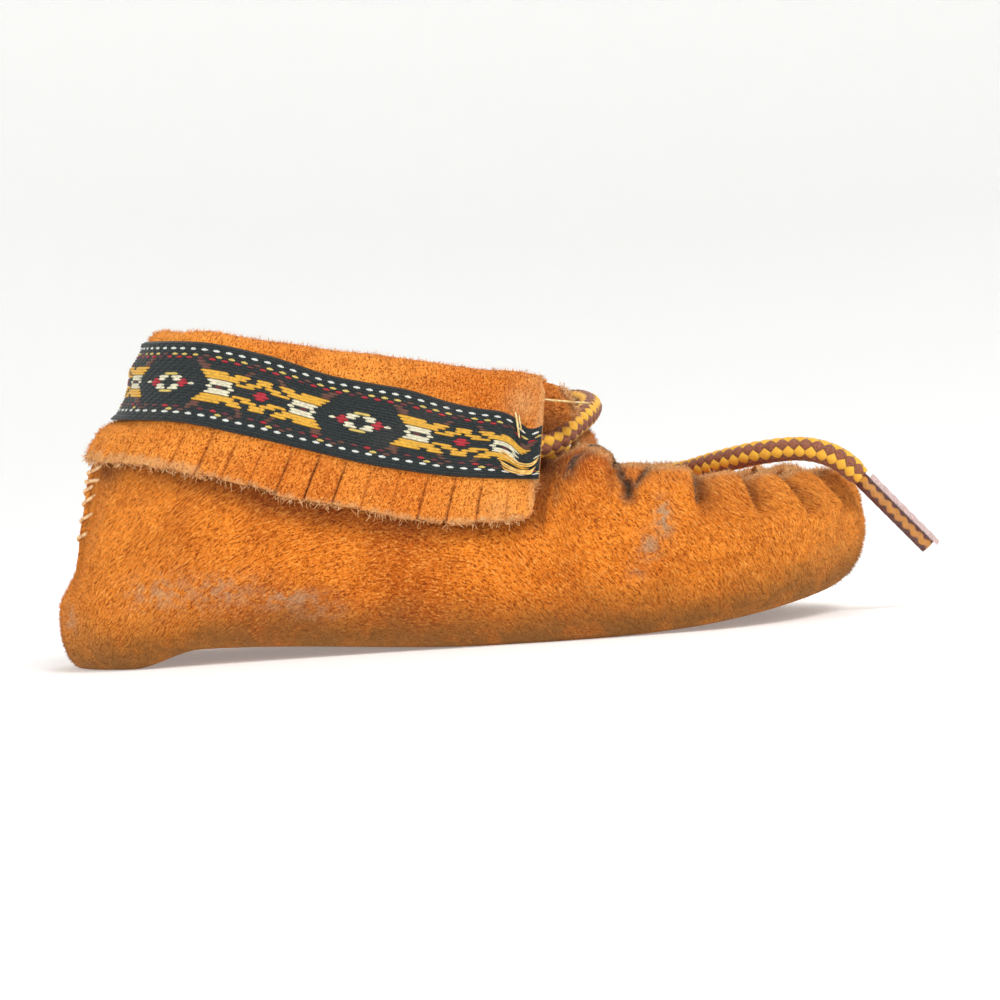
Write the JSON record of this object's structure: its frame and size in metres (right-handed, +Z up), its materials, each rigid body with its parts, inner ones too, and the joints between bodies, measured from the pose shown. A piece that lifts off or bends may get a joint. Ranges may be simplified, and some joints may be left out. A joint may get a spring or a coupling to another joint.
{
  "type": "moccasin bootie",
  "caption": "Small soft suede moccasin bootie with a gathered toe, inset plug, low tongue, folded and fringed ankle cuff, woven band and round lace.",
  "frame": {"origin": "on the floor, under the middle of the shoe's length and width without the lace", "axes": "+X from the heel to the toe, +Y to the wearer's left, +Z up"},
  "size_m": [0.1374, 0.056, 0.0519],
  "materials": {
    "suede": "orange-tan suede, napped, worn brown along the bottom",
    "cuff_suede": "deep orange suede with a raw fringed hem",
    "ribbon": "dark jacquard band with yellow, red and cream figures",
    "insole_suede": "plain tan leather",
    "lace_braid": "round braid in golden yellow and maroon",
    "aglet_film": "clear glossy film over the braid"
  },
  "bodies": {
    "root": {"wrapped_sole_and_sides": "suede", "vamp_plug": "suede", "tongue": "suede", "folded_cuff": "cuff_suede", "woven_ribbon": "ribbon", "insole": "insole_suede", "lace_loop": "lace_braid", "lace_end": "lace_braid", "lace_aglet": "aglet_film"}
  },
  "joints": []
}
